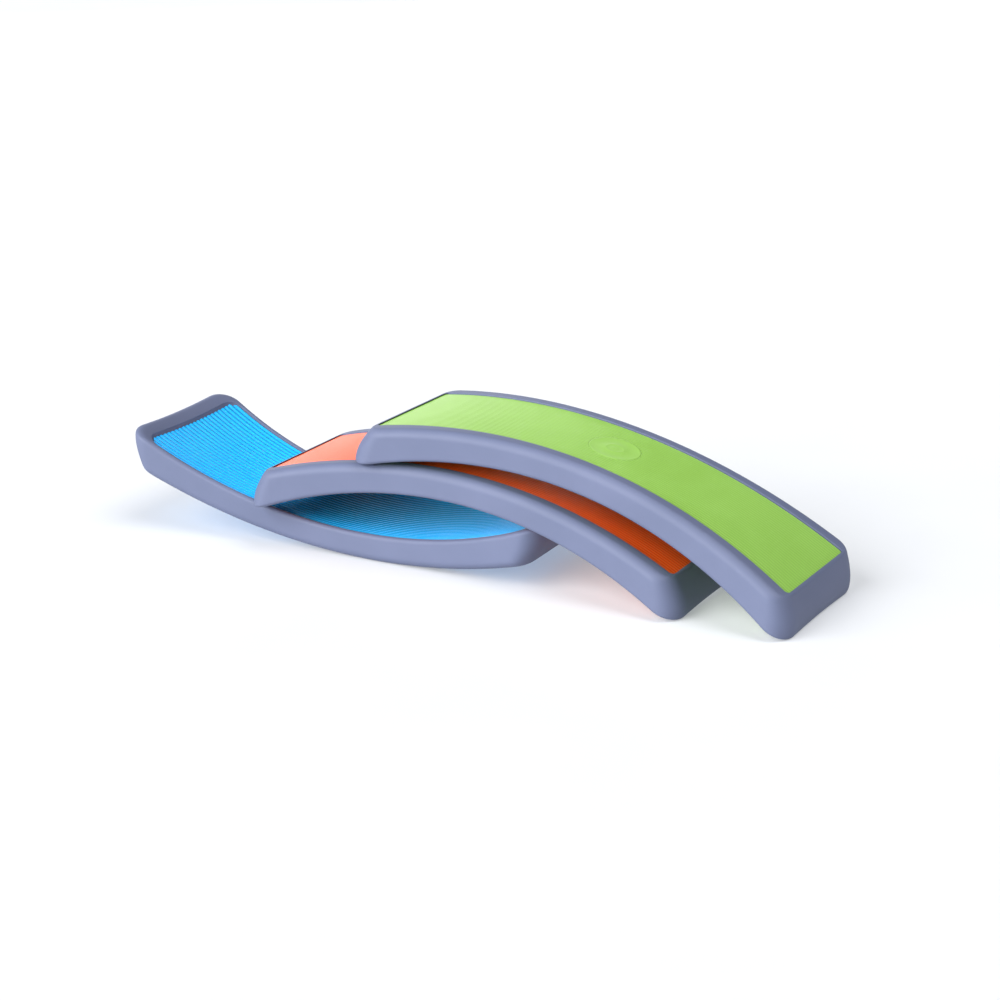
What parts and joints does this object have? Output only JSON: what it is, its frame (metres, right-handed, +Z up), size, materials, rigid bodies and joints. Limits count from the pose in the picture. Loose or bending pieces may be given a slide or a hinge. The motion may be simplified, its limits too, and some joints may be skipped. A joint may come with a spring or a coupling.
{
  "type": "balance board",
  "caption": "Stack of arched, waisted balance boards with soft grey frames and ribbed treads: one turned over to rock, the others standing as arches, each leaning on its neighbour.",
  "frame": {"origin": "centre of the whole stack's footprint, on the floor", "axes": "+X along the boards, from the overturned blue board towards the green one's foot; +Z up"},
  "size_m": [1.2205, 0.3132, 0.2482],
  "materials": {
    "soft_grey_frame": "soft-touch matt, fine grained",
    "blue_tread": "satin, ribbed lengthwise",
    "orange_tread": "satin, ribbed lengthwise",
    "green_tread": "satin, ribbed lengthwise",
    "dark_core": "moulded, unpainted",
    "zinc_steel": "bright zinc plate"
  },
  "bodies": {
    "blue_board": {"blue_frame": "soft_grey_frame", "blue_core_convex_shell": "dark_core", "blue_core_concave_shell": "dark_core", "blue_convex_tread": "blue_tread", "blue_concave_tread": "blue_tread", "blue_badge_disc": "blue_tread", "blue_core_screw_1": "zinc_steel", "blue_core_screw_2": "zinc_steel", "blue_core_screw_3": "zinc_steel", "blue_core_screw_4": "zinc_steel", "blue_core_screw_5": "zinc_steel", "blue_core_screw_6": "zinc_steel"},
    "orange_board": {"orange_frame": "soft_grey_frame", "orange_core_convex_shell": "dark_core", "orange_core_concave_shell": "dark_core", "orange_convex_tread": "orange_tread", "orange_concave_tread": "orange_tread", "orange_badge_disc": "orange_tread", "orange_core_screw_1": "zinc_steel", "orange_core_screw_2": "zinc_steel", "orange_core_screw_3": "zinc_steel", "orange_core_screw_4": "zinc_steel", "orange_core_screw_5": "zinc_steel", "orange_core_screw_6": "zinc_steel"},
    "green_board": {"green_frame": "soft_grey_frame", "green_core_convex_shell": "dark_core", "green_core_concave_shell": "dark_core", "green_convex_tread": "green_tread", "green_concave_tread": "green_tread", "green_badge_disc": "green_tread", "green_core_screw_1": "zinc_steel", "green_core_screw_2": "zinc_steel", "green_core_screw_3": "zinc_steel", "green_core_screw_4": "zinc_steel", "green_core_screw_5": "zinc_steel", "green_core_screw_6": "zinc_steel"}
  },
  "joints": [
    {"name": "orange_lift_off", "type": "slide", "parent": "blue_board", "child": "orange_board", "axis": [0, 0, 1], "range_m": [0, 0.3]},
    {"name": "green_lift_off", "type": "slide", "parent": "orange_board", "child": "green_board", "axis": [0, 0, 1], "range_m": [0, 0.3]}
  ]
}
